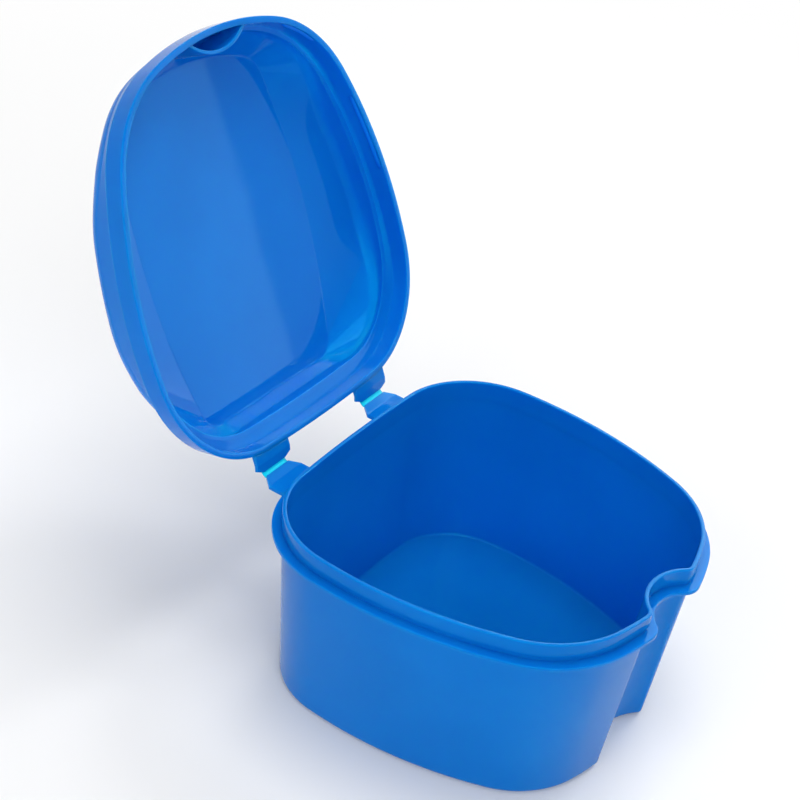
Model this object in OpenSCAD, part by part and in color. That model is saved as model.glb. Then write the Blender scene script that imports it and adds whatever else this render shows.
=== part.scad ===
// Denture case with a hinged lid. Millimetres. The tub stands on z = 0, centred on the
// origin. The hinge is at the back (+Y) and the thumb notch at the front (-Y).
// The lid is drawn in its closed place and then swung open about the hinge line.

/* [Tub] */
// Half of the lip's outside width, across the widest line
half_w = 45; // [42:0.5:50]
// Half of the lip's outside depth, from the hinge side to the thumb side
half_d = 43.8; // [42:0.2:48]
// How far the widest line lies behind the middle
wide_y = 13.5; // [10:0.5:15]
// Radius of the nearly straight back edge
back_r = 430; // [300:10:600]
// Radius of each back corner
back_corner_r = 23; // [20:0.5:26]
// Radius of each long side
side_r = 104; // [90:1:130]
// Radius of each front corner
front_corner_r = 27.5; // [24:0.5:30]
// Radius of the front edge
front_r = 68.5; // [60:0.5:80]
// Height of the tub from its foot to the top of its lip
tub_h = 48.4; // [40:0.2:60]
// Thickness of the tub's wall
wall_t = 1.0; // [0.9:0.1:1.5]
// Thickness of the tub's floor
floor_t = 1.5; // [1.2:0.1:2.5]
// How far the wall leans in from the lip to the foot
wall_lean = 3.3; // [2:0.1:4]
// Outer radius where the wall meets the foot
foot_r = 1.8; // [1.2:0.1:2.5]
// Height of the lip above the ledge that the lid lands on
lip_h = 4.65; // [4:0.05:6]
// Thickness of the lip
lip_t = 1.0; // [0.8:0.1:1.3]
// Height of the snap bead that runs round the lip's outside
bead_h = 3.4; // [2.5:0.1:3.6]
// Depth of the groove under the snap bead
groove_d = 0.4; // [0.2:0.05:0.5]
// How far the ledge stands out from the lip
ledge_out = 2.1; // [1.8:0.1:3]
// Thickness of the ledge
ledge_t = 1.0; // [0.8:0.1:1.5]

/* [Thumb notch] */
// Radius of the notch, measured at the lip's outside
notch_r = 12; // [10:0.5:13]
// How far the bottom of the notch lies behind the lip's front
notch_in = 5.5; // [4:0.25:7]
// Radius of the notch's two outer edges, measured at the lip
notch_edge_r = 3; // [2:0.25:4]

/* [Lid] */
// Height of the lid above the ledge, when closed
lid_h = 15.6; // [15:0.1:20]
// Gap between the lip and the lid's skirt
skirt_gap = 1.8; // [1.4:0.1:2.2]
// Thickness of the skirt
skirt_t = 1.6; // [1.2:0.1:2]
// Height of the skirt
skirt_h = 5.4; // [5.2:0.1:6.5]
// How far the outside of the skirt leans in towards its top
skirt_draft = 0.3; // [0.1:0.05:0.4]
// Width of the step at the top of the skirt
skirt_step = 0.45; // [0.3:0.05:0.8]
// Thickness of the lid's wall and top
lid_t = 1.2; // [1:0.1:1.5]
// How far the lid's wall leans in below the shoulder
lid_lean = 0.9; // [0.6:0.05:1.2]
// Outer radius of the shoulder between the lid's wall and its sloped roof
shoulder_r = 3.6; // [3:0.1:4.5]
// Slope of the roof at the sides, in degrees
roof_pitch = 7; // [5:0.5:10]
// How much lower the shoulder lies at the front than at the sides
front_drop = 4.3; // [2:0.1:4.5]
// How much lower the shoulder lies at the back than at the sides
back_drop = 4.6; // [2:0.1:4.8]
// How much further in the wall stands at the back than at the sides
back_in = 2.6; // [1.5:0.1:2.8]
// How far the roof's flat panel lies inside the rim at the sides
panel_side_in = 18.8; // [16:0.2:20]
// How far the panel lies inside the rim at the front
panel_front_in = 7.3; // [7:0.1:9]
// How far the panel lies inside the rim at the back
panel_back_in = 5.4; // [5.2:0.1:7]
// How far the closed lid sits forward of the tub's middle
lid_forward = 1.0; // [0.8:0.1:1.2]
// Extra depth of the lid's back edge, where the straps leave it
back_land = 1.5; // [1:0.1:2]
// Gap between the closed lid's rim and the ledge
rim_gap = 0.15; // [0.1:0.05:0.3]
// Radius of the half-moon rib behind the lid's front edge
rib_r = 14.8; // [13:0.2:16]
// How far the middle of the rib lies behind the lid's front
rib_in = 6.1; // [5:0.1:6.5]
// Thickness of the half-moon rib
rib_t = 0.85; // [0.7:0.05:1.2]
// How far the snap ribs stand out from the inside of the skirt
snap_d = 0.5; // [0.3:0.05:0.7]
// Height of the snap ribs
snap_h = 1.2; // [0.8:0.1:2]

/* [Hinges] */
// Angle of the open lid, measured from closed
open_angle = 115; // [90:1:130]
// How far the hinge line lies behind the ledge's back edge
hinge_back = 6.1; // [5.6:0.1:7]
// Half of the width from one strap's outer edge to the other's
strap_outer_x = 26.3; // [24:0.1:28]
// Width of each strap
strap_w = 12.5; // [10:0.5:14]
// Thickness of each strap
strap_t = 1.0; // [0.8:0.1:1.2]
// Gap between the straps of the closed case
strap_gap = 0.25; // [0.2:0.05:0.4]
// Rise of each strap towards the hinge line, when closed
strap_rise = 0.6; // [0.4:0.05:0.8]
// Length of the part of each strap that rises
strap_end = 2.4; // [2:0.1:3]
// Width lost at each corner of a strap's end
strap_chamfer = 2.0; // [1:0.1:3]
// Length of the chamfers at the lid's straps
lid_chamfer = 1.0; // [0.6:0.1:2]
// Distance from each strap's end to the hinge line
film_half = 0.5; // [0.4:0.05:0.8]
// Thickness of the film that bends
film_t = 0.45; // [0.3:0.05:0.5]

/* [Hidden] */

plastic = [0.09, 0.46, 0.80];
film_colour = [0.15, 0.80, 0.95];

// Steps along each arc of half an outline, from the back to the front
steps = [3, 11, 7, 9, 5];
// Steps along the notch's edge and along its arc
edge_steps = 4;
notch_steps = 6;
// Least radius of the notch's edges, where the wall leans in
least_edge_r = 0.8;

ledge_z = tub_h - lip_h;
rim_z = ledge_z;
lid_grow = skirt_gap + skirt_t;
// Extra depth of the lid's front edge
lid_front_extra = 0.2;
// Extra radius of the lid's back corners
lid_corner_extra = 1.9;

// Hinge line, and the straps' ends before it
ledge_back = half_d + ledge_out;
hinge_y = ledge_back + hinge_back;
strap_tip_y = hinge_y - film_half;
strap_bend_y = strap_tip_y - strap_end;
// The straps of the closed case lie face to face across the hinge line's height
hinge_z = ledge_z + strap_rise + strap_gap / 2;
lid_strap_z = ledge_z + strap_gap;

// Heading of a vector: 0 at +Y, growing towards +X
function heading(v) = atan2(v.x, v.y);
function ray(t) = [sin(t), cos(t)];

// The right-hand crossing of two circles
function crossing(a, ra, b, rb) =
    let (d = norm(b - a),
         u = (b - a) / d,
         k = (ra * ra - rb * rb + d * d) / (2 * d),
         h = sqrt(ra * ra - k * k),
         m = a + k * u,
         n = [u.y, -u.x])
    m.x + h * n.x > m.x - h * n.x ? m + h * n : m - h * n;

// Points of an arc as [x, y, heading of its outward normal], without the last point
function arc(c, r, t0, t1, n) =
    [for (i = [0 : n - 1]) let (t = t0 + (t1 - t0) * i / n) [c.x + r * sin(t), c.y + r * cos(t), t]];

// Right half of an oval made of five arcs, from the back's middle to the front's.
// w: half-width, b and f: distances to the back and the front, y: the widest line,
// r: radii of the back edge, the back corner, the side, the front corner and the front edge
function oval_half(w, b, f, y, r) =
    let (cb = [0, b - r[0]],
         cs = [w - r[2], y],
         cf = [0, r[4] - f],
         c1 = crossing(cb, r[0] - r[1], cs, r[2] - r[1]),
         c2 = crossing(cs, r[2] - r[3], cf, r[4] - r[3]),
         t1 = heading(c1 - cb),
         t2 = heading(c1 - cs),
         t3 = heading(c2 - cs),
         t4 = heading(c2 - cf))
    concat(arc(cb, r[0], 0, t1, steps[0]),
           arc(c1, r[1], t1, t2, steps[1]),
           arc(cs, r[2], t2, t3, steps[2]),
           arc(c2, r[3], t3, t4, steps[3]),
           arc(cf, r[4], t4, 180, steps[4]),
           [[0, -f, 180]]);

// A whole outline from its right half
function whole(half) =
    concat(half, [for (i = [len(half) - 2 : -1 : 1]) [-half[i].x, half[i].y, 360 - half[i][2]]]);

// Points moved out along their normals
function grown(path, off) = [for (p = path) [p.x, p.y] + off * ray(p[2])];

tub_radii = [back_r, back_corner_r, side_r, front_corner_r, front_r];

// The tub's outline at a distance from the lip's outside, with the thumb notch
function tub_outline(off) =
    let (r = [for (k = tub_radii) k + off],
         half = oval_half(half_w + off, half_d + off, half_d + off, wide_y, r),
         plain = len(half) - steps[4] - 1,
         cf = [0, front_r - half_d],
         cn = [0, -half_d + notch_in - notch_r],
         nr = notch_r - off,
         er = max(notch_edge_r + off, least_edge_r),
         ce = crossing(cf, front_r + off - er, cn, nr + er),
         t4 = half[plain][2],
         te = heading(ce - cf) + (ce.x < 0 ? 360 : 0),
         tn = heading(cn - ce) + 360,
         ts = heading(ce - cn),
         right = concat([for (i = [0 : plain - 1]) half[i]],
                        arc(cf, front_r + off, t4, te, steps[4]),
                        arc(ce, er, te, tn, edge_steps),
                        arc(cn, nr, ts, 0, notch_steps),
                        [[0, cn.y + nr, 180]]))
    [for (p = whole(right)) [p.x, p.y]];

// The lid's outline, in its closed place
lid_radii = [back_r + lid_grow, back_corner_r + lid_grow + lid_corner_extra, side_r + lid_grow,
             front_corner_r + lid_grow, front_r + lid_grow];
lid_half_w = half_w + lid_grow;
lid_back = half_d + lid_grow + back_land - lid_forward;
lid_front = half_d + lid_grow + lid_front_extra + lid_forward;
lid_path = whole(oval_half(lid_half_w, lid_back, lid_front, wide_y - lid_forward, lid_radii));

// The outline of the flat panel in the roof
panel_wide_y = -1;
panel_radii = [back_r, 6, 160, 8, front_r];
panel_path = whole(oval_half(lid_half_w - panel_side_in, lid_back - panel_back_in,
                             lid_front - panel_front_in, panel_wide_y, panel_radii));

// Shares of the lid's own shape at the front and at the back: 0 at the sides, up to 1
function eased(s) = let (k = min(1, max(0, s))) k * k * (3 - 2 * k);
function front_share(y) = eased(-y / lid_front * 2 - 0.5);
function back_share(y) = eased(y / lid_back * 1.4 - 0.13);
function back_drop_share(y) = eased(y / lid_back * 1.4 - 0.25);

// A ring of the lid's skirt: inset u from the rim and height w above the rim's plane.
// At the back it stands as much further in and higher as these say.
function lid_ring(u, w, in = 0, up = 0) =
    [for (p = lid_path)
        let (k = back_share(p.y), q = [p.x, p.y] - (u + in * k) * ray(p[2]))
        [q.x, q.y, rim_z + w + up * k]];

// A closed solid through rings of equally many points, with flat fans at both ends.
// Each four-cornered face is split in two along one diagonal, or the other if crossed.
module skin(rings, centre, crossed = false) {
    n = len(rings[0]);
    k = len(rings);
    first = concat(centre, rings[0][0].z);
    last = concat(centre, rings[k - 1][0].z);
    points = concat([for (r = rings) for (p = r) p], [first, last]);
    sides = [for (i = [0 : k - 2]) for (j = [0 : n - 1])
        let (a = i * n + j, b = i * n + (j + 1) % n, c = b + n, d = a + n)
        each crossed ? [[a, b, d], [b, c, d]] : [[a, b, c], [a, c, d]]];
    foot = [for (j = [0 : n - 1]) [k * n, (j + 1) % n, j]];
    top = [for (j = [0 : n - 1]) [k * n + 1, (k - 1) * n + j, (k - 1) * n + (j + 1) % n]];
    polyhedron(points, concat(sides, foot, top));
}

// Profile of the tub as [offset from the lip's outside, height], from the foot's flat
// face up the outside, over the lip and down to the floor
wall_top = -0.1;
function wall_off(z) = wall_top - wall_lean * (ledge_z - z) / ledge_z;
inner_r = 0.8;
lip_round = 0.25;
groove_h = lip_h - bead_h;
tub_profile = concat(
    [for (a = [0 : 30 : 90]) [wall_off(foot_r) - foot_r * (1 - sin(a)), foot_r * (1 - cos(a))]],
    [[wall_off(ledge_z * 0.5), ledge_z * 0.5],
     [wall_off(ledge_z - ledge_t), ledge_z - ledge_t],
     [ledge_out, ledge_z - ledge_t],
     [ledge_out, ledge_z],
     [-groove_d, ledge_z],
     [-groove_d, ledge_z + groove_h - groove_d],
     [0, ledge_z + groove_h],
     [0, tub_h - lip_round],
     [-lip_round, tub_h],
     [-lip_t + lip_round, tub_h],
     [-lip_t, tub_h - lip_round],
     [wall_top - wall_t, ledge_z - ledge_t]],
    [for (a = [0 : 30 : 90])
        let (z = floor_t + inner_r)
        [wall_off(z) - wall_t - inner_r * (1 - cos(a)), z - inner_r * sin(a)]]);

module base_tub() {
    color(plastic)
    skin([for (p = tub_profile) [for (q = tub_outline(p[0])) [q.x, q.y, p[1]]]], [0, 0]);
}

// Swings closed-lid shapes open about the hinge line
module opened() {
    translate([0, hinge_y, hinge_z]) rotate([-open_angle, 0, 0]) translate([0, -hinge_y, -hinge_z])
    children();
}

rim_round = 0.3;
// Height of the step inside the skirt: at the sides and front, and at the back above the lip
inner_step_h = skirt_h + 1.2;
inner_step_back_h = lip_h + 0.45;
outer_step_rise = 0.8;
// How much further the skirt leans in at the back
skirt_back_in = 0.5;
wall_u = skirt_draft + skirt_step + lid_lean;
shoulder_steps = 5;

// Height of the corner between the wall and the roof, before it is rounded
side_corner_h = lid_h - tan(roof_pitch) * (panel_side_in - wall_u);
most_drop = side_corner_h - inner_step_h - 0.2 - lid_t;
front_fall = min(front_drop, most_drop);
back_fall = min(back_drop, most_drop);
function corner_h(y) = side_corner_h - front_fall * front_share(y) - back_fall * back_drop_share(y);

// For each point of the lid's outline: the foot of its roof line, the way to the panel,
// the corner's height and the roof's slope
dome = [for (i = [0 : len(lid_path) - 1])
    let (p = lid_path[i],
         q = [p.x, p.y] - (wall_u + back_in * back_share(p.y)) * ray(p[2]),
         e = [panel_path[i].x, panel_path[i].y],
         h = corner_h(p.y))
    [q, (e - q) / norm(e - q), h, atan2(lid_h - h, norm(e - q)), e]];

// A ring of the shoulder, a depth t inside the lid's outside and a share s of the way round
function shoulder_ring(t, s) =
    [for (d = dome)
        let (a = (90 - d[3]) * s,
             r = shoulder_r - t,
             g = d[0] + (t + r * (1 - cos(a))) * d[1],
             foot = d[2] - shoulder_r * (1 / cos(d[3]) - tan(d[3])))
        [g.x, g.y, rim_z + foot + r * sin(a)]];
function shoulder(t) = [for (i = [0 : shoulder_steps]) shoulder_ring(t, i / shoulder_steps)];

// The panel's edge, a depth t inside the lid's outside
function panel_ring(t) =
    [for (d = dome) let (g = d[4] + t * tan(d[3] / 2) * d[1]) [g.x, g.y, rim_z + lid_h - t]];

lid_outside = concat(
    [lid_ring(skirt_t - rim_round, rim_gap),
     lid_ring(rim_round, rim_gap),
     lid_ring(0, rim_gap + rim_round),
     lid_ring(skirt_draft, skirt_h - rim_round, skirt_back_in),
     lid_ring(skirt_draft + rim_round, skirt_h, skirt_back_in),
     lid_ring(skirt_draft + skirt_step, skirt_h, back_in, outer_step_rise)],
    shoulder(0), [panel_ring(0)]);
lid_inside = concat(
    [lid_ring(skirt_t, rim_gap + rim_round),
     lid_ring(skirt_t, lip_h),
     lid_ring(skirt_t + 0.05, inner_step_h - 0.4, back_in, inner_step_back_h + 0.4 - inner_step_h),
     lid_ring(wall_u + lid_t - 0.1, inner_step_h, back_in, inner_step_back_h + 0.1 - inner_step_h)],
    shoulder(lid_t), [panel_ring(lid_t)]);

// The lid's shell in one skin: down the inside to the rim, and up the outside to the panel
module lid_solid() {
    inside = [for (i = [len(lid_inside) - 1 : -1 : 0]) lid_inside[i]];
    skin(concat(inside, lid_outside), [0, 0]);
}

module lid_shell() {
    color(plastic) opened() lid_solid();
}

// The space inside the closed lid, which trims what stands in it
module lid_hollow() {
    skin(lid_inside, [0, 0], true);
}

// Half-moon rib behind the lid's front edge, which closes the tub's thumb notch
module thumb_rib() {
    color(plastic) opened()
    intersection() {
        lid_hollow();
        translate([0, -lid_front + rib_in - rib_r, rim_z])
        difference() {
            cylinder(h = lid_h, r = rib_r, $fn = 96);
            translate([0, 0, -1]) cylinder(h = lid_h + 2, r = rib_r - rib_t, $fn = 96);
        }
    }
}

// A band along the inside of the skirt between two points of the lid's outline
module skirt_band(first, last, depth) {
    outer = grown(lid_path, -skirt_t);
    inner = grown(lid_path, -skirt_t - depth);
    polygon(concat([for (i = [first : last]) outer[i]], [for (i = [last : -1 : first]) inner[i]]));
}

// Snap ribs on the inside of the skirt: one at each side and two beside the thumb rib
snap_span_steps = [[17, 20], [25, 29]];
module snap_ribs() {
    color(plastic) opened()
    for (side = [0, 1]) mirror([side, 0, 0])
    for (s = snap_span_steps)
    translate([0, 0, rim_z + rim_gap + 2 * rim_round])
    linear_extrude(snap_h) skirt_band(s[0], s[1], snap_d);
}

// A strap seen from the side, from inside its root to its end
module strap_side(z, root_y) {
    polygon([[root_y, z], [strap_bend_y, z], [strap_tip_y, z + strap_rise],
             [strap_tip_y, z + strap_rise + strap_t], [strap_bend_y, z + strap_t],
             [root_y, z + strap_t]]);
}

// A strap seen from above, with its chamfered end
module strap_plan(root_y, chamfer_y) {
    outer = strap_outer_x;
    inner = strap_outer_x - strap_w;
    polygon([[inner, root_y], [inner, chamfer_y], [inner + strap_chamfer, strap_tip_y],
             [outer - strap_chamfer, strap_tip_y], [outer, chamfer_y], [outer, root_y]]);
}

// The strap on the +X side, cut to the outline that it grows from
module strap(z, chamfer_y, outline) {
    root_y = half_d - back_corner_r;
    height = strap_t + strap_rise;
    difference() {
        intersection() {
            translate([0, 0, z]) linear_extrude(height) strap_plan(root_y, chamfer_y);
            rotate([90, 0, 90]) linear_extrude(2 * half_w) strap_side(z, root_y);
        }
        translate([0, 0, z - 1]) linear_extrude(height + 2) polygon(outline);
    }
}

module base_strap(side) {
    color(plastic) mirror([side, 0, 0]) strap(ledge_z - strap_t, strap_bend_y, tub_outline(ledge_out));
}

module lid_strap(side) {
    color(plastic) opened() mirror([side, 0, 0])
    strap(lid_strap_z, strap_tip_y - lid_chamfer, grown(lid_path, 0));
}

// The film between two straps, bent as in the open case
film_turn = 180 - open_angle;
film_steps = 8;
base_tip_z = ledge_z - strap_t / 2 + strap_rise;
film_reach = film_half * (1 + cos(film_turn)) + (hinge_z - base_tip_z) * sin(film_turn);
film_r = film_reach / sin(film_turn);
module hinge_film(side) {
    inner = strap_outer_x - strap_w + strap_chamfer;
    bend = [for (i = [0 : film_steps]) film_turn * i / film_steps];
    color(film_colour) mirror([side, 0, 0])
    translate([inner, strap_tip_y, base_tip_z + film_r])
    rotate([90, 0, 90]) linear_extrude(strap_w - 2 * strap_chamfer)
    polygon(concat([for (a = bend) (film_r + film_t / 2) * [sin(a), -cos(a)]],
                   [for (i = [film_steps : -1 : 0]) (film_r - film_t / 2) * [sin(bend[i]), -cos(bend[i])]]));
}

base_tub();
lid_shell();
thumb_rib();
snap_ribs();
base_strap(0);  // base_strap_right
base_strap(1);  // base_strap_left
lid_strap(0);  // lid_strap_right
lid_strap(1);  // lid_strap_left
hinge_film(0);  // hinge_film_right
hinge_film(1);  // hinge_film_left
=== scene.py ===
import math

import bmesh
import bpy
import numpy as np
from mathutils import Matrix, Vector
from mathutils.bvhtree import BVHTree


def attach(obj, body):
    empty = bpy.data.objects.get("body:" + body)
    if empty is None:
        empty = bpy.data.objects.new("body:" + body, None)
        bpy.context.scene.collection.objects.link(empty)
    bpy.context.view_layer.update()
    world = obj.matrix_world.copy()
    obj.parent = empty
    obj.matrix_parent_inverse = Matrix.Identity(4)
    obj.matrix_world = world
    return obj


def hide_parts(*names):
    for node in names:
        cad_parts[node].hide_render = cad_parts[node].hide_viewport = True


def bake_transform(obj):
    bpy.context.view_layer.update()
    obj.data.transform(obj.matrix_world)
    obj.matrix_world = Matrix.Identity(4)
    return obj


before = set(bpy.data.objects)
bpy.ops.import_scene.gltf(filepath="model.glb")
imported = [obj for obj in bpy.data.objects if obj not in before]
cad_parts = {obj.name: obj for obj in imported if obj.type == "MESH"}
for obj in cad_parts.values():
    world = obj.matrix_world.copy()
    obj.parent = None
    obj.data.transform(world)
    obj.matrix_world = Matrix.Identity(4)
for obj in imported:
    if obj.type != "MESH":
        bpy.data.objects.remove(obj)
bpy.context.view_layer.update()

# Sizes in millimetres, named as in the part's source. The case stands on z = 0, with its
# hinges at +Y and its thumb notch at -Y.
half_w, half_d, wide_y = 45, 43.8, 13.5
back_r, back_corner_r, side_r, front_corner_r, front_r = 430, 23, 104, 27.5, 68.5
tub_h, wall_t, floor_t, wall_lean, foot_r, inner_r = 48.4, 1.0, 1.5, 3.3, 1.8, 0.8
lip_h, lip_t, bead_h, groove_d, ledge_out, ledge_t = 4.65, 1.0, 3.4, 0.4, 2.1, 1.0
notch_r, notch_in, notch_edge_r, least_edge_r = 12, 5.5, 3, 0.8
lid_h, skirt_gap, skirt_t, skirt_h, skirt_step = 15.6, 1.8, 1.6, 5.4, 0.45
skirt_draft, skirt_back_in, outer_step_rise = 0.3, 0.5, 0.8
lid_t, lid_lean, shoulder_r, roof_pitch = 1.2, 0.9, 3.6, 7
front_drop, back_drop, back_in = 4.3, 4.6, 2.6
panel_side_in, panel_front_in, panel_back_in, panel_wide_y = 18.8, 7.3, 5.4, -1
panel_radii = [back_r, 6, 160, 8, front_r]
lid_forward, back_land, rim_gap = 1.0, 1.5, 0.15
lid_front_extra, lid_corner_extra = 0.2, 1.9
rib_r, rib_in, rib_t, snap_d, snap_h = 14.8, 6.1, 0.85, 0.5, 1.2
open_angle, hinge_back = 115, 6.1
strap_outer_x, strap_w, strap_t, strap_gap = 26.3, 12.5, 1.0, 0.25
strap_rise, strap_end, strap_chamfer, lid_chamfer = 0.6, 2.4, 2.0, 1.0
film_half, film_t = 0.5, 0.45
# The steps of the lid's outline between which each side's snap ribs lie
snap_span_steps = ((17, 20), (25, 29))

MM = 0.001  # metres
ledge_z = tub_h - lip_h
rim_z = ledge_z
lid_grow = skirt_gap + skirt_t
hinge_y = half_d + ledge_out + hinge_back
hinge_z = ledge_z + strap_rise + strap_gap / 2
strap_tip_y = hinge_y - film_half
strap_bend_y = strap_tip_y - strap_end

# Each arc of an outline has this many times the points that it has in the part's source
FINE = 5
STEPS = [n * FINE for n in (3, 11, 7, 9, 5)]
EDGE_STEPS, NOTCH_STEPS, SHOULDER_STEPS, RIB_STEPS = 14, 26, 14, 72

STRAIGHT = math.radians(89)  # half of a corner's angle, beyond which it isn't rounded
SHARP = math.radians(25)  # the least fold of an edge that is bevelled


# ---------------------------------------------------------------- outlines

def heading(v):
    """Heading of a vector in degrees: 0 at +Y, growing towards +X."""
    return math.degrees(math.atan2(v[0], v[1]))


def crossing(a, ra, b, rb):
    """The right-hand crossing of two circles."""
    a, b = np.array(a, float), np.array(b, float)
    d = np.linalg.norm(b - a)
    u = (b - a) / d
    k = (ra * ra - rb * rb + d * d) / (2 * d)
    h = math.sqrt(ra * ra - k * k)
    n = np.array([u[1], -u[0]])
    return max((a + k * u + h * n, a + k * u - h * n), key=lambda p: p[0])


def arc(c, r, t0, t1, n):
    """Points of an arc as rows of x, y and the heading of its outward normal."""
    t = t0 + (t1 - t0) * np.arange(n) / n
    a = np.radians(t)
    return np.column_stack([c[0] + r * np.sin(a), c[1] + r * np.cos(a), t])


def oval_half(w, b, f, y, r):
    """Right half of an oval made of five arcs, from the back's middle to the front's."""
    cb, cs, cf = (0, b - r[0]), (w - r[2], y), (0, r[4] - f)
    c1 = crossing(cb, r[0] - r[1], cs, r[2] - r[1])
    c2 = crossing(cs, r[2] - r[3], cf, r[4] - r[3])
    t1, t2 = heading(c1 - cb), heading(c1 - cs)
    t3, t4 = heading(c2 - cs), heading(c2 - cf)
    return np.vstack([
        arc(cb, r[0], 0, t1, STEPS[0]),
        arc(c1, r[1], t1, t2, STEPS[1]),
        arc(cs, r[2], t2, t3, STEPS[2]),
        arc(c2, r[3], t3, t4, STEPS[3]),
        arc(cf, r[4], t4, 180, STEPS[4]),
        [[0, -f, 180]]])


def whole(half):
    """A whole outline from its right half."""
    left = half[-2:0:-1] * [-1, 1, -1] + [0, 0, 360]
    return np.vstack([half, left])


def rays(path):
    """The outward normals along an outline."""
    a = np.radians(path[:, 2])
    return np.column_stack([np.sin(a), np.cos(a)])


def tub_outline(off):
    """The tub's outline at a distance from the lip's outside, with the thumb notch."""
    r = [k + off for k in (back_r, back_corner_r, side_r, front_corner_r, front_r)]
    half = oval_half(half_w + off, half_d + off, half_d + off, wide_y, r)
    plain = len(half) - STEPS[4] - 1
    cf, cn = np.array([0, front_r - half_d]), np.array([0, -half_d + notch_in - notch_r])
    nr, er = notch_r - off, max(notch_edge_r + off, least_edge_r)
    ce = crossing(cf, front_r + off - er, cn, nr + er)
    t4 = half[plain][2]
    te = heading(ce - cf) + (360 if ce[0] < 0 else 0)
    tn, ts = heading(cn - ce) + 360, heading(ce - cn)
    right = np.vstack([
        half[:plain],
        arc(cf, front_r + off, t4, te, STEPS[4]),
        arc(ce, er, te, tn, EDGE_STEPS),
        arc(cn, nr, ts, 0, NOTCH_STEPS),
        [[0, cn[1] + nr, 180]]])
    return whole(right)[:, :2]


def rounded(corners, n=4):
    """An open line through corners (x, y, radius), with each radius as an arc of n steps."""
    out = [np.array(corners[0][:2], float)]
    for before, here, after in zip(corners, corners[1:], corners[2:]):
        p = np.array(here[:2], float)
        a, b = np.array(before[:2]) - p, np.array(after[:2]) - p
        la, lb = np.linalg.norm(a), np.linalg.norm(b)
        a, b = a / la, b / lb
        half = math.acos(max(-1, min(1, float(a @ b)))) / 2
        if here[2] == 0 or half > STRAIGHT:
            out.append(p)
            continue
        cut = min(here[2] / math.tan(half), 0.49 * la, 0.49 * lb)
        r = cut * math.tan(half)
        centre = p + (a + b) / np.linalg.norm(a + b) * r / math.sin(half)
        s, e = p + a * cut - centre, p + b * cut - centre
        turn = math.acos(max(-1, min(1, float(s @ e) / r / r)))
        for i in range(n + 1):
            t = i / n
            point = math.sin((1 - t) * turn) * s + math.sin(t * turn) * e
            out.append(centre + point / math.sin(turn))
    out.append(np.array(corners[-1][:2], float))
    return out


# ---------------------------------------------------------------- mesh helpers

INSETS = (0.3, 0.6, 0.9)  # the rings inside a flat face, as shares of the way to its middle
HINGE = Vector((0, hinge_y, hinge_z))
OPEN = (Matrix.Translation(HINGE) @ Matrix.Rotation(math.radians(-open_angle), 4, "X")
        @ Matrix.Translation(-HINGE))


def at_height(xy, z):
    """Points of an outline as rows of x, y and z."""
    return np.column_stack([xy, np.full(len(xy), z)])


def inset_rings(ring, centre, shares):
    """Rings drawn in from ring towards centre, each by its share of the way."""
    return [ring + (np.array(centre) - ring) * s for s in shares]


def closed_loop_faces(n, k):
    """Quads between k rings of n points each."""
    return [(i * n + j, i * n + (j + 1) % n, (i + 1) * n + (j + 1) % n, (i + 1) * n + j)
            for i in range(k - 1) for j in range(n)]


def fanned_faces(n, k):
    """Quads between k rings, with a fan at each end round a point that follows the rings."""
    last = (k - 1) * n
    return (closed_loop_faces(n, k) + [(k * n, (j + 1) % n, j) for j in range(n)]
            + [(k * n + 1, last + j, last + (j + 1) % n) for j in range(n)])


def capped_faces(n, k, start=0):
    """Quads between k rings, whose points begin at start, with one face at each end."""
    last = start + (k - 1) * n
    quads = [tuple(start + i for i in face) for face in closed_loop_faces(n, k)]
    return quads + [tuple(range(start, start + n)), tuple(range(last, last + n))]


def make(name, points, faces, body, node, material, opened=False, bevel=0, blend=None):
    """A smooth-shaded piece from points in millimetres, on its body and in place of its node.
    An opened one is drawn in its closed place and swung open."""
    mesh = bpy.data.meshes.new(name)
    turn = OPEN if opened else Matrix.Identity(4)
    mesh.from_pydata([tuple(turn @ Vector(p) * MM) for p in points], [], faces)
    bm = bmesh.new()
    bm.from_mesh(mesh)
    bmesh.ops.remove_doubles(bm, verts=bm.verts, dist=1e-7)
    bmesh.ops.recalc_face_normals(bm, faces=bm.faces)
    for f in bm.faces:
        f.smooth = True
    if bevel:
        sharp = [e for e in bm.edges if len(e.link_faces) == 2 and e.calc_face_angle() > SHARP]
        bmesh.ops.bevel(bm, geom=sharp, offset=bevel * MM, segments=3, profile=0.5,
                        affect="EDGES", clamp_overlap=True)
        for f in bm.faces:
            f.smooth = True
    bm.to_mesh(mesh)
    bm.free()
    mesh.materials.append(material)
    piece = bpy.data.objects.new(name, mesh)
    bpy.context.scene.collection.objects.link(piece)
    if blend:
        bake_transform(piece)
    else:
        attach(piece, body)
    normals = piece.modifiers.new("even_normals", "WEIGHTED_NORMAL")
    normals.weight = 80
    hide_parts(node)
    return piece


# ---------------------------------------------------------------- materials

def new_material(name):
    """A material, its shader, and the functions that add a node and link two sockets."""
    material = bpy.data.materials.new(name)
    material.use_nodes = True
    nodes, links = material.node_tree.nodes, material.node_tree.links
    shader = nodes["Principled BSDF"]

    def add(kind, **values):
        node = nodes.new(kind)
        for key, value in values.items():
            if key in node.inputs:
                node.inputs[key].default_value = value
            else:
                setattr(node, key, value)
        return node
    return material, shader, add, links.new


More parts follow.
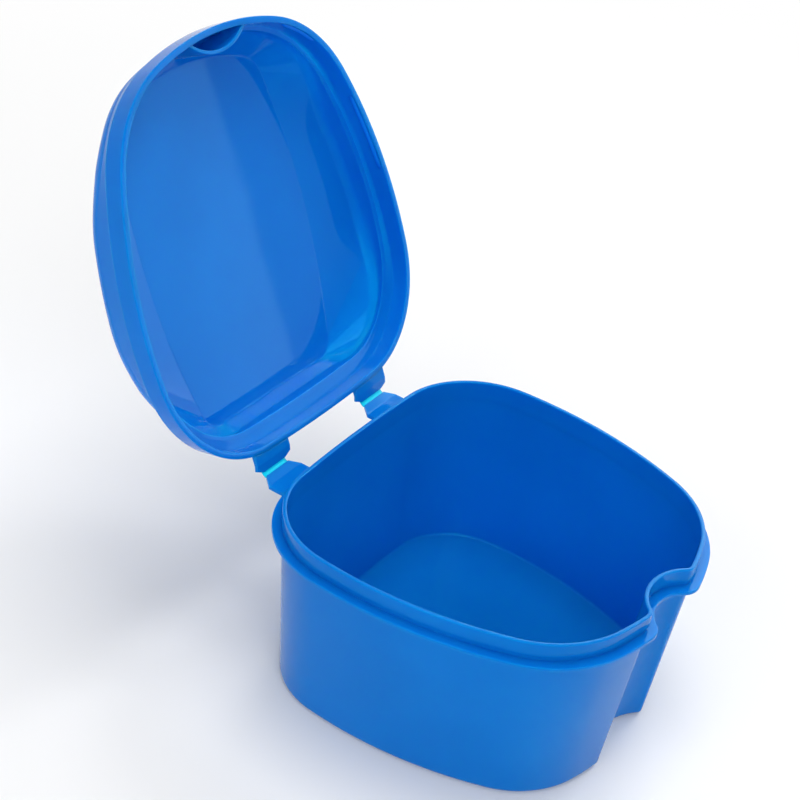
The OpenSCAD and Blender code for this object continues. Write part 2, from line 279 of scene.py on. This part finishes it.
def plastic(name, deep, light, roughness, scatter, depth=0.003):
    """Glossy moulded polypropylene: faint flow clouds in its colour, a gently rippled skin
    as the mould leaves it, and a fine haze of handling marks in its gloss. Light scatters in
    it to a depth in metres."""
    material, shader, add, link = new_material(name)
    place = add("ShaderNodeTexCoord")

    def noise(scale, detail, rough):
        node = add("ShaderNodeTexNoise", Scale=scale, Detail=detail, Roughness=rough)
        link(place.outputs["Object"], node.inputs["Vector"])
        return node.outputs["Fac"]

    shade = add("ShaderNodeValToRGB")
    shade.color_ramp.elements[0].position = 0.3
    shade.color_ramp.elements[0].color = (*deep, 1)
    shade.color_ramp.elements[1].position = 0.72
    shade.color_ramp.elements[1].color = (*light, 1)
    link(noise(26.0, 3.0, 0.45), shade.inputs["Fac"])
    link(shade.outputs["Color"], shader.inputs["Base Color"])

    gloss = add("ShaderNodeMapRange")
    gloss.inputs["From Min"].default_value = 0.3
    gloss.inputs["From Max"].default_value = 0.75
    gloss.inputs["To Min"].default_value = roughness * 0.75
    gloss.inputs["To Max"].default_value = roughness * 1.35
    link(noise(140.0, 6.0, 0.65), gloss.inputs["Value"])
    link(gloss.outputs["Result"], shader.inputs["Roughness"])

    ripple = add("ShaderNodeBump", Strength=0.25, Distance=0.00012)
    link(noise(65.0, 2.0, 0.4), ripple.inputs["Height"])
    grain = add("ShaderNodeBump", Strength=0.12, Distance=0.00002)
    link(noise(900.0, 2.0, 0.5), grain.inputs["Height"])
    link(ripple.outputs["Normal"], grain.inputs["Normal"])
    link(grain.outputs["Normal"], shader.inputs["Normal"])

    shader.inputs["IOR"].default_value = 1.5
    shader.inputs["Specular IOR Level"].default_value = 0.25
    shader.inputs["Specular Tint"].default_value = (0.02, 0.75, 1.0, 1)
    shader.inputs["Subsurface Weight"].default_value = scatter
    shader.inputs["Subsurface Radius"].default_value = (0.25, 0.8, 1.0)
    shader.inputs["Subsurface Scale"].default_value = depth
    return material


case_plastic = plastic("case_plastic", (0.001, 0.16, 0.54), (0.002, 0.19, 0.6), 0.05, 0.7)
lid_plastic = plastic("lid_plastic", (0.001, 0.15, 0.54), (0.002, 0.18, 0.6), 0.04, 0.85, 0.0045)
rib_plastic = plastic("rib_plastic", (0.001, 0.15, 0.75), (0.003, 0.18, 0.82), 0.05, 0.0)
# The hinge film's lighter cyan colour is painted light: a painted glow that stands for light
# shining through the thin film from behind.
film_plastic = plastic("film_plastic", (0.004, 0.50, 0.85), (0.01, 0.60, 0.92), 0.2, 0.6)


# ---------------------------------------------------------------- tub

def wall_off(z):
    """How far the wall's outside lies from the lip's outside at a height, as an offset."""
    return -0.1 - wall_lean * (ledge_z - z) / ledge_z


def tub_line():
    """The wall's section as (offset from the lip's outside, height)."""
    under = ledge_z - ledge_t
    groove = ledge_z + lip_h - bead_h
    return rounded([
        (wall_off(0) - 4, 0, 0),
        (wall_off(0), 0, foot_r),
        (wall_off(under), under, 0.35),
        (ledge_out, under, 0.22),
        (ledge_out, ledge_z, 0.22),
        (-groove_d, ledge_z, 0.12),
        (-groove_d, groove - groove_d, 0.1),
        (0, groove, 0.12),
        (0, tub_h, 0.3),
        (-lip_t, tub_h, 0.3),
        (wall_off(under) - wall_t, under, 1.5),
        (wall_off(floor_t) - wall_t, floor_t, inner_r),
        (wall_off(floor_t) - wall_t - 4, floor_t, 0)], 5)


def build_tub():
    """The tub, from the middle of its underside up the outside and down the inside."""
    rings = [at_height(tub_outline(off), z) for off, z in tub_line()]
    foot, floor = (0, 0, 0), (0, 0, floor_t)
    rings = (inset_rings(rings[0], foot, INSETS[::-1]) + rings
             + inset_rings(rings[-1], floor, INSETS))
    points = np.vstack(rings + [[foot], [floor]])
    faces = fanned_faces(len(rings[0]), len(rings))
    piece = make("tub_body", points, faces, "base", "base_tub", case_plastic)


# ---------------------------------------------------------------- lid

lid_half_w = half_w + lid_grow
lid_back = half_d + lid_grow + back_land - lid_forward
lid_front = half_d + lid_grow + lid_front_extra + lid_forward
lid_path = whole(oval_half(
    lid_half_w, lid_back, lid_front, wide_y - lid_forward,
    [back_r + lid_grow, back_corner_r + lid_grow + lid_corner_extra, side_r + lid_grow,
     front_corner_r + lid_grow, front_r + lid_grow]))
lid_rays = rays(lid_path)
panel_path = whole(oval_half(lid_half_w - panel_side_in, lid_back - panel_back_in,
                             lid_front - panel_front_in, panel_wide_y, panel_radii))


def eased(s):
    """0 below 0, 1 above 1, and a smooth rise between them."""
    k = np.clip(s, 0, 1)
    return k * k * (3 - 2 * k)


# How much of the front's and the back's shape each point of the outline has
lid_y = lid_path[:, 1]
front_share = eased(-lid_y / lid_front * 2 - 0.5)
back_share = eased(lid_y / lid_back * 1.4 - 0.13)
back_drop_share = eased(lid_y / lid_back * 1.4 - 0.25)

inner_step_h = skirt_h + 1.2
inner_step_back_h = lip_h + 0.45
wall_u = skirt_draft + skirt_step + lid_lean
side_corner_h = lid_h - math.tan(math.radians(roof_pitch)) * (panel_side_in - wall_u)
corner_h = side_corner_h - front_drop * front_share - back_drop * back_drop_share

# The roof's line at each point of the lid's outline: its foot, its way to the panel and its slope
roof_foot = lid_path[:, :2] - (wall_u + back_in * back_share)[:, None] * lid_rays
roof_run = np.linalg.norm(panel_path[:, :2] - roof_foot, axis=1)
roof_way = (panel_path[:, :2] - roof_foot) / roof_run[:, None]
roof_slope = np.arctan2(lid_h - corner_h, roof_run)


def lid_ring(u, w, inward=0, up=0):
    """A ring of the lid's skirt, as in the part's source."""
    xy = lid_path[:, :2] - (u + inward * back_share)[:, None] * lid_rays
    return np.column_stack([xy, rim_z + w + up * back_share])


def shoulder_ring(t, s):
    """A ring of the shoulder, a depth t inside the lid's outside and a share s of the way round."""
    a = (math.pi / 2 - roof_slope) * s
    r = shoulder_r - t
    foot = corner_h - shoulder_r * (1 / np.cos(roof_slope) - np.tan(roof_slope))
    xy = roof_foot + (t + r * (1 - np.cos(a)))[:, None] * roof_way
    return np.column_stack([xy, rim_z + foot + r * np.sin(a)])


def panel_ring(t, inward=0.0):
    """The panel's edge, or a ring further in on the panel."""
    xy = (panel_path[:, :2] + (t * np.tan(roof_slope / 2))[:, None] * roof_way
          - inward * rays(panel_path))
    return at_height(xy, rim_z + lid_h - t)


def softened(rings, radii, n=5):
    """Rings with the edge at each ring rounded off by about its radius."""
    out = [rings[0]]
    for before, here, after, r in zip(rings, rings[1:], rings[2:], radii[1:]):
        if not r:
            out.append(here)
            continue
        a, b = before - here, after - here
        la, lb = (np.linalg.norm(v, axis=1)[:, None] for v in (a, b))
        cosine = np.clip((a * b).sum(axis=1)[:, None] / la / lb, -1, 1)
        cut = r * np.sqrt((1 + cosine) / np.maximum(1 - cosine, 1e-6))
        cut = np.minimum(np.minimum(cut, 0.48 * la), 0.48 * lb)
        start, end = here + a / la * cut, here + b / lb * cut
        for t in np.linspace(0, 1, n + 1):
            out.append((1 - t) ** 2 * start + 2 * t * (1 - t) * here + t * t * end)
    return out + [rings[-1]]


def lid_rings():
    """Rings up the inside and up the outside of the lid, from the middle of its rim."""
    middle = lid_ring(skirt_t / 2, rim_gap)
    around = [i / SHOULDER_STEPS for i in range(SHOULDER_STEPS + 1)]
    outside = softened(
        [middle, lid_ring(0, rim_gap), lid_ring(skirt_draft, skirt_h, skirt_back_in),
         lid_ring(skirt_draft + skirt_step, skirt_h, back_in, outer_step_rise),
         shoulder_ring(0, 0)],
        (0, 0.3, 0.3, 0.2))
    inside = softened(
        [middle, lid_ring(skirt_t, rim_gap), lid_ring(skirt_t, lip_h),
         lid_ring(skirt_t + 0.05, inner_step_h - 0.4, back_in,
                  inner_step_back_h + 0.4 - inner_step_h),
         lid_ring(wall_u + lid_t - 0.1, inner_step_h, back_in,
                  inner_step_back_h + 0.1 - inner_step_h),
         shoulder_ring(lid_t, 0)],
        (0, 0.3, 0.5, 0.2, 0.2))
    outside += [shoulder_ring(0, k) for k in around[1:]]
    inside += [shoulder_ring(lid_t, k) for k in around[1:]]
    outside += softened([outside[-1], panel_ring(0), panel_ring(0, 2)], (0, 1.2), 7)[1:]
    inside += softened([inside[-1], panel_ring(lid_t), panel_ring(lid_t, 2)], (0, 0.7), 7)[1:]
    return inside, outside


def build_lid():
    """The lid, and its closed shape as a tree that rays can be cast on."""
    inside, outside = lid_rings()
    low, high = (0, 0, rim_z + lid_h - lid_t), (0, 0, rim_z + lid_h)
    inside += inset_rings(inside[-1], low, INSETS)
    outside += inset_rings(outside[-1], high, INSETS)
    rings = inside[::-1] + outside[1:]
    points = np.vstack(rings + [[low], [high]])
    faces = fanned_faces(len(rings[0]), len(rings))
    piece = make("lid_body", points, faces, "lid", "lid_shell", lid_plastic, opened=True)
    return BVHTree.FromPolygons([tuple(p) for p in points], faces)


def build_thumb_rib(lid):
    """The half-moon rib, up to the roof and into the skirt on both sides."""
    centre = np.array([0, -lid_front + rib_in - rib_r])
    middle = rib_r - rib_t / 2

    def place(t, r):
        return centre + r * np.array([math.sin(t), math.cos(t)])

    def depth(t):
        p = place(t, middle)
        d = lid_path[:, :2] - p
        i = int(np.argmin((d ** 2).sum(axis=1)))
        return float(d[i] @ lid_rays[i])

    # the angle at which each end of the rib has sunk into the skirt
    low, high = 0.0, math.radians(100)
    for _ in range(40):
        half = (low + high) / 2
        low, high = (half, high) if depth(half) > skirt_t * 0.6 else (low, half)
    foot = rim_z + rim_gap + 0.3
    loops = []
    for i in range(RIB_STEPS + 1):
        t = low * (2 * i / RIB_STEPS - 1)
        loop = []
        for r in (rib_r - rib_t, middle, rib_r):
            p = place(t, r)
            hit, normal, _, _ = lid.ray_cast(Vector((p[0], p[1], foot + 1.5)), Vector((0, 0, 1)))
            top = hit.z + 0.3 if normal.z < 0 or abs(t) < low * 0.9 else hit.z - 0.4
            loop.append((p, top))
        side = 0.18
        (a, ta), (m, _), (b, tb) = loop
        loops.append([
            (*a, ta), (*a, (foot + ta) / 2), (*a, foot + side),
            (*(a + (m - a) * 0.13), foot + side * 0.3), (*(a + (m - a) * 0.42), foot),
            (*(b + (m - b) * 0.42), foot), (*(b + (m - b) * 0.13), foot + side * 0.3),
            (*b, foot + side), (*b, (foot + tb) / 2), (*b, tb)])
    points = [p for loop in loops for p in loop]
    faces = capped_faces(len(loops[0]), len(loops))
    piece = make("thumb_guard", points, faces, "lid", "thumb_rib", lid_plastic, opened=True)


def build_snap_ribs():
    """Low rounded ribs on the inside of the skirt, fading out at their ends."""
    points, faces = [], []
    foot = rim_z + rim_gap + 0.6
    sunk, round_steps = 0.15, 9
    for side in (1, -1):
        for first, last in snap_span_steps:
            span = range(first * FINE, last * FINE + 1)
            start = len(points)
            for i in span:
                edge = min(i - span[0], span[-1] - i) / FINE
                tall = snap_d * min(1, math.sqrt(max(edge, 0) / 0.6) + 0.02)
                for a in np.linspace(0, math.pi, round_steps):
                    u = skirt_t - sunk + (tall + sunk) * math.sin(a)
                    p = lid_path[i, :2] - u * lid_rays[i]
                    points.append((side * p[0], p[1], foot + snap_h * (1 - math.cos(a)) / 2))
            faces += capped_faces(round_steps, len(span), start)
    piece = make("snap_bumps", points, faces, "lid", "snap_ribs", rib_plastic, opened=True)


# ---------------------------------------------------------------- straps and hinge films

def back_edge(path, x):
    """How far back an outline reaches at x."""
    right = path[(path[:, 0] >= 0) & (path[:, 1] > 0)]
    right = right[np.argsort(right[:, 0])]
    return float(np.interp(x, right[:, 0], right[:, 1]))


def build_strap(name, node, body, side, z, path, chamfer, chamfer_long, opened):
    """A strap from inside its root to its end, which rises towards the hinge line."""
    inner, outer = strap_outer_x - strap_w, strap_outer_x
    xs = np.unique(np.concatenate([
        np.linspace(inner, inner + chamfer, 5), np.linspace(inner + chamfer, outer - chamfer, 9),
        np.linspace(outer - chamfer, outer, 5)]))
    rows = np.concatenate([np.linspace(0, 0.5, 5)[:-1], np.linspace(0.5, 1, 14)])
    grid = []
    for x in xs:
        root = back_edge(path, x) - 0.35
        corner = max(0, chamfer - min(x - inner, outer - x)) / chamfer
        tip = strap_tip_y - chamfer_long * corner
        ys = root + (tip - root) * rows
        rise = strap_rise * np.clip((ys - strap_bend_y) / strap_end, 0, 1)
        grid.append([(side * x, y, z + r) for y, r in zip(ys, rise)])
    n, k = len(rows), len(xs)
    points = [p for line in grid for p in line]
    points += [(p[0], p[1], p[2] + strap_t) for p in points]
    m = n * k
    faces = []
    for i in range(k - 1):
        for j in range(n - 1):
            a, b, c, d = i * n + j, i * n + j + 1, (i + 1) * n + j + 1, (i + 1) * n + j
            faces += [(a, b, c, d), (a + m, d + m, c + m, b + m)]
    rim = [(i, 0) for i in range(k)] + [(k - 1, j) for j in range(1, n)]
    rim += [(i, n - 1) for i in range(k - 2, -1, -1)] + [(0, j) for j in range(n - 2, 0, -1)]
    loop = [i * n + j for i, j in rim]
    faces += [(a, b, b + m, a + m) for a, b in zip(loop, loop[1:] + loop[:1])]
    piece = make(name, points, faces, body, node, case_plastic, opened=opened, bevel=0.14)


def build_straps():
    """The straps on the tub's ledge and on the lid's rim."""
    ledge = tub_outline(ledge_out)
    for side, word in ((1, "right"), (-1, "left")):
        build_strap("base_arm_" + word, "base_strap_" + word, "base", side, ledge_z - strap_t,
                    ledge, strap_chamfer, strap_end, False)
        build_strap("lid_arm_" + word, "lid_strap_" + word, "lid", side, ledge_z + strap_gap,
                    lid_path[:, :2], strap_chamfer, lid_chamfer, True)


def build_films():
    """The two hinge films, drawn bent in an arc between the straps and thinnest across their
    middle.
    """
    turn = math.radians(180 - open_angle)
    tip_z = ledge_z - strap_t / 2 + strap_rise
    reach = film_half * (1 + math.cos(turn)) + (hinge_z - tip_z) * math.sin(turn)
    r = reach / math.sin(turn)
    inner, outer = strap_outer_x - strap_w + strap_chamfer, strap_outer_x - strap_chamfer
    centre = np.array([strap_tip_y, tip_z + r])

    def at(s):
        """The film's middle at s, which is 0 at the base strap's end and 1 at the lid strap's."""
        a = turn * min(1, max(0, s))
        along = np.array([math.cos(a), math.sin(a)])
        p = centre + r * np.array([math.sin(a), -math.cos(a)])
        up = np.array([-math.sin(a), math.cos(a)])
        return p + along * r * turn * (s - min(1, max(0, s))), up

    start, end = at(0)[0], at(1)[0]
    rows = np.concatenate([[-0.25], np.linspace(0, 1, 25), [1.25]])
    xs = np.linspace(inner, outer, 9)
    for side, word in ((1, "right"), (-1, "left")):
        points = []
        for s in rows:
            p, up = at(s)
            half = film_t / 2 * (1 - 0.3 * math.sin(math.pi * min(1, max(0, s))) ** 2)
            points += [(side * x, *(p + up * half)) for x in xs]
            points += [(side * x, *(p - up * half)) for x in xs[::-1]]
        faces = capped_faces(2 * len(xs), len(rows))
        ends = [(0, start[0] * MM, start[1] * MM), (0, end[0] * MM, end[1] * MM)]
        piece = make("film_" + word, points, faces, None, "hinge_film_" + word, film_plastic,
                     blend=ends)


build_tub()
lid_tree = build_lid()
build_thumb_rib(lid_tree)
build_snap_ribs()
build_straps()
build_films()


# ---------------------------------------------------------------- stage, light and camera

def background_ray(nodes, link):
    """1 for the rays that show the background: from the camera, reflected or transmitted."""
    path = nodes.new("ShaderNodeLightPath")
    seen = path.outputs["Is Camera Ray"]
    for kind in ("Is Glossy Ray", "Is Transmission Ray"):
        either = nodes.new("ShaderNodeMath")
        either.operation = "MAXIMUM"
        link(seen, either.inputs[0])
        link(path.outputs[kind], either.inputs[1])
        seen = either.outputs[0]
    return seen


def pale_floor():
    """A pale floor that keeps the object's shadow and fades to plain white away from it."""
    bpy.ops.mesh.primitive_plane_add(size=8, location=(0, 0, 0))
    floor = bpy.context.object
    floor.name = "floor"
    material, shader, add, link = new_material("pale_floor")
    nodes = material.node_tree.nodes
    speckle = add("ShaderNodeTexNoise", Scale=3.0, Detail=4.0)
    tone = add("ShaderNodeValToRGB")
    tone.color_ramp.elements[0].color = (0.86, 0.86, 0.86, 1)
    tone.color_ramp.elements[1].color = (0.9, 0.9, 0.9, 1)
    link(speckle.outputs["Fac"], tone.inputs["Fac"])
    link(tone.outputs["Color"], shader.inputs["Base Color"])
    shader.inputs["Roughness"].default_value = 0.7

    place, away = add("ShaderNodeTexCoord"), add("ShaderNodeVectorMath", operation="LENGTH")
    link(place.outputs["Object"], away.inputs[0])
    fade = add("ShaderNodeMapRange", interpolation_type="SMOOTHSTEP")
    fade.inputs["From Min"].default_value = 0.17
    fade.inputs["From Max"].default_value = 0.5
    link(away.outputs["Value"], fade.inputs["Value"])
    share = add("ShaderNodeMath", operation="MULTIPLY")
    link(background_ray(nodes, link), share.inputs[0])
    link(fade.outputs["Result"], share.inputs[1])
    seen, mix = add("ShaderNodeEmission", Strength=1.0), add("ShaderNodeMixShader")
    link(share.outputs[0], mix.inputs[0])
    link(shader.outputs[0], mix.inputs[1])
    link(seen.outputs[0], mix.inputs[2])
    link(mix.outputs[0], nodes["Material Output"].inputs["Surface"])
    floor.data.materials.append(material)


def white_world():
    """A world that looks white and lights the object more gently than it looks."""
    world = bpy.data.worlds.new("studio")
    bpy.context.scene.world = world
    world.use_nodes = True
    nodes, link = world.node_tree.nodes, world.node_tree.links.new
    light, seen = nodes["Background"], nodes.new("ShaderNodeBackground")
    for background, strength in ((light, 0.35), (seen, 1)):
        background.inputs["Color"].default_value = (1, 1, 1, 1)
        background.inputs["Strength"].default_value = strength
    mix = nodes.new("ShaderNodeMixShader")
    link(background_ray(nodes, link), mix.inputs[0])
    link(light.outputs[0], mix.inputs[1])
    link(seen.outputs[0], mix.inputs[2])
    link(mix.outputs[0], nodes["World Output"].inputs["Surface"])


def lamp(name, place, target, size, power, lean=0):
    """A white soft box that the camera doesn't see. It leans about its own axis, in degrees."""
    data = bpy.data.lights.new(name, "AREA")
    data.shape = "RECTANGLE"
    data.size, data.size_y = size
    data.energy = power
    box = bpy.data.objects.new(name, data)
    aim = (Vector(target) - Vector(place)).to_track_quat("-Z", "Y").to_matrix().to_4x4()
    box.matrix_world = (Matrix.Translation(place) @ aim
                        @ Matrix.Rotation(math.radians(lean), 4, "Z"))
    box.visible_camera = False
    bpy.context.scene.collection.objects.link(box)


def camera():
    """The photograph's camera, from its place, its angles and its focal length in pixels."""
    place, focal, picture_width, sensor_width = (-0.29599, -0.13391, 0.29174), 1754, 800, 36
    azimuth, elevation, roll = (math.radians(a) for a in (-60.62, 33.96, 8.48))
    back = Vector((math.sin(azimuth) * math.cos(elevation),
                   -math.cos(azimuth) * math.cos(elevation), math.sin(elevation)))
    level = Vector((math.cos(azimuth), math.sin(azimuth), 0))
    upright = back.cross(level)
    right = level * math.cos(roll) + upright * math.sin(roll)
    up = upright * math.cos(roll) - level * math.sin(roll)
    data = bpy.data.cameras.new("camera")
    data.sensor_width = sensor_width
    data.lens = sensor_width * focal / picture_width
    data.clip_start = 0.01
    view = bpy.data.objects.new("camera", data)
    bpy.context.scene.collection.objects.link(view)
    view.matrix_world = (Matrix.Translation(place)
                         @ Matrix((right, up, back)).transposed().to_4x4())
    bpy.context.scene.camera = view


pale_floor()
white_world()
lamp("key", (-0.85, -0.75, 0.9), (0, 0, 0.05), (0.7, 0.7), 6)
lamp("side", (-1.3, 0.2, 0.8), (0, 0, 0.05), (0.8, 0.7), 4)
lamp("top", (0.1, 0.0, 1.5), (0, 0, 0.05), (0.9, 0.9), 9.5)
lamp("fill", (1.3, 0.15, 0.8), (0, 0, 0.05), (0.8, 0.7), 5)
lamp("spark", (0.85, -0.25, 1.0), (0, 0, 0.05), (0.25, 0.25), 2)
lamp("panel_light", (0.868, -0.876, 0.25), (0, 0.09, 0.09), (0.2, 0.42), 0.42, -17)
lamp("roof_light", (1.09, -0.6, 0.11), (0, 0.08, 0.08), (0.26, 0.2), 0.2)
camera()
bpy.context.scene.view_settings.view_transform = "Standard"
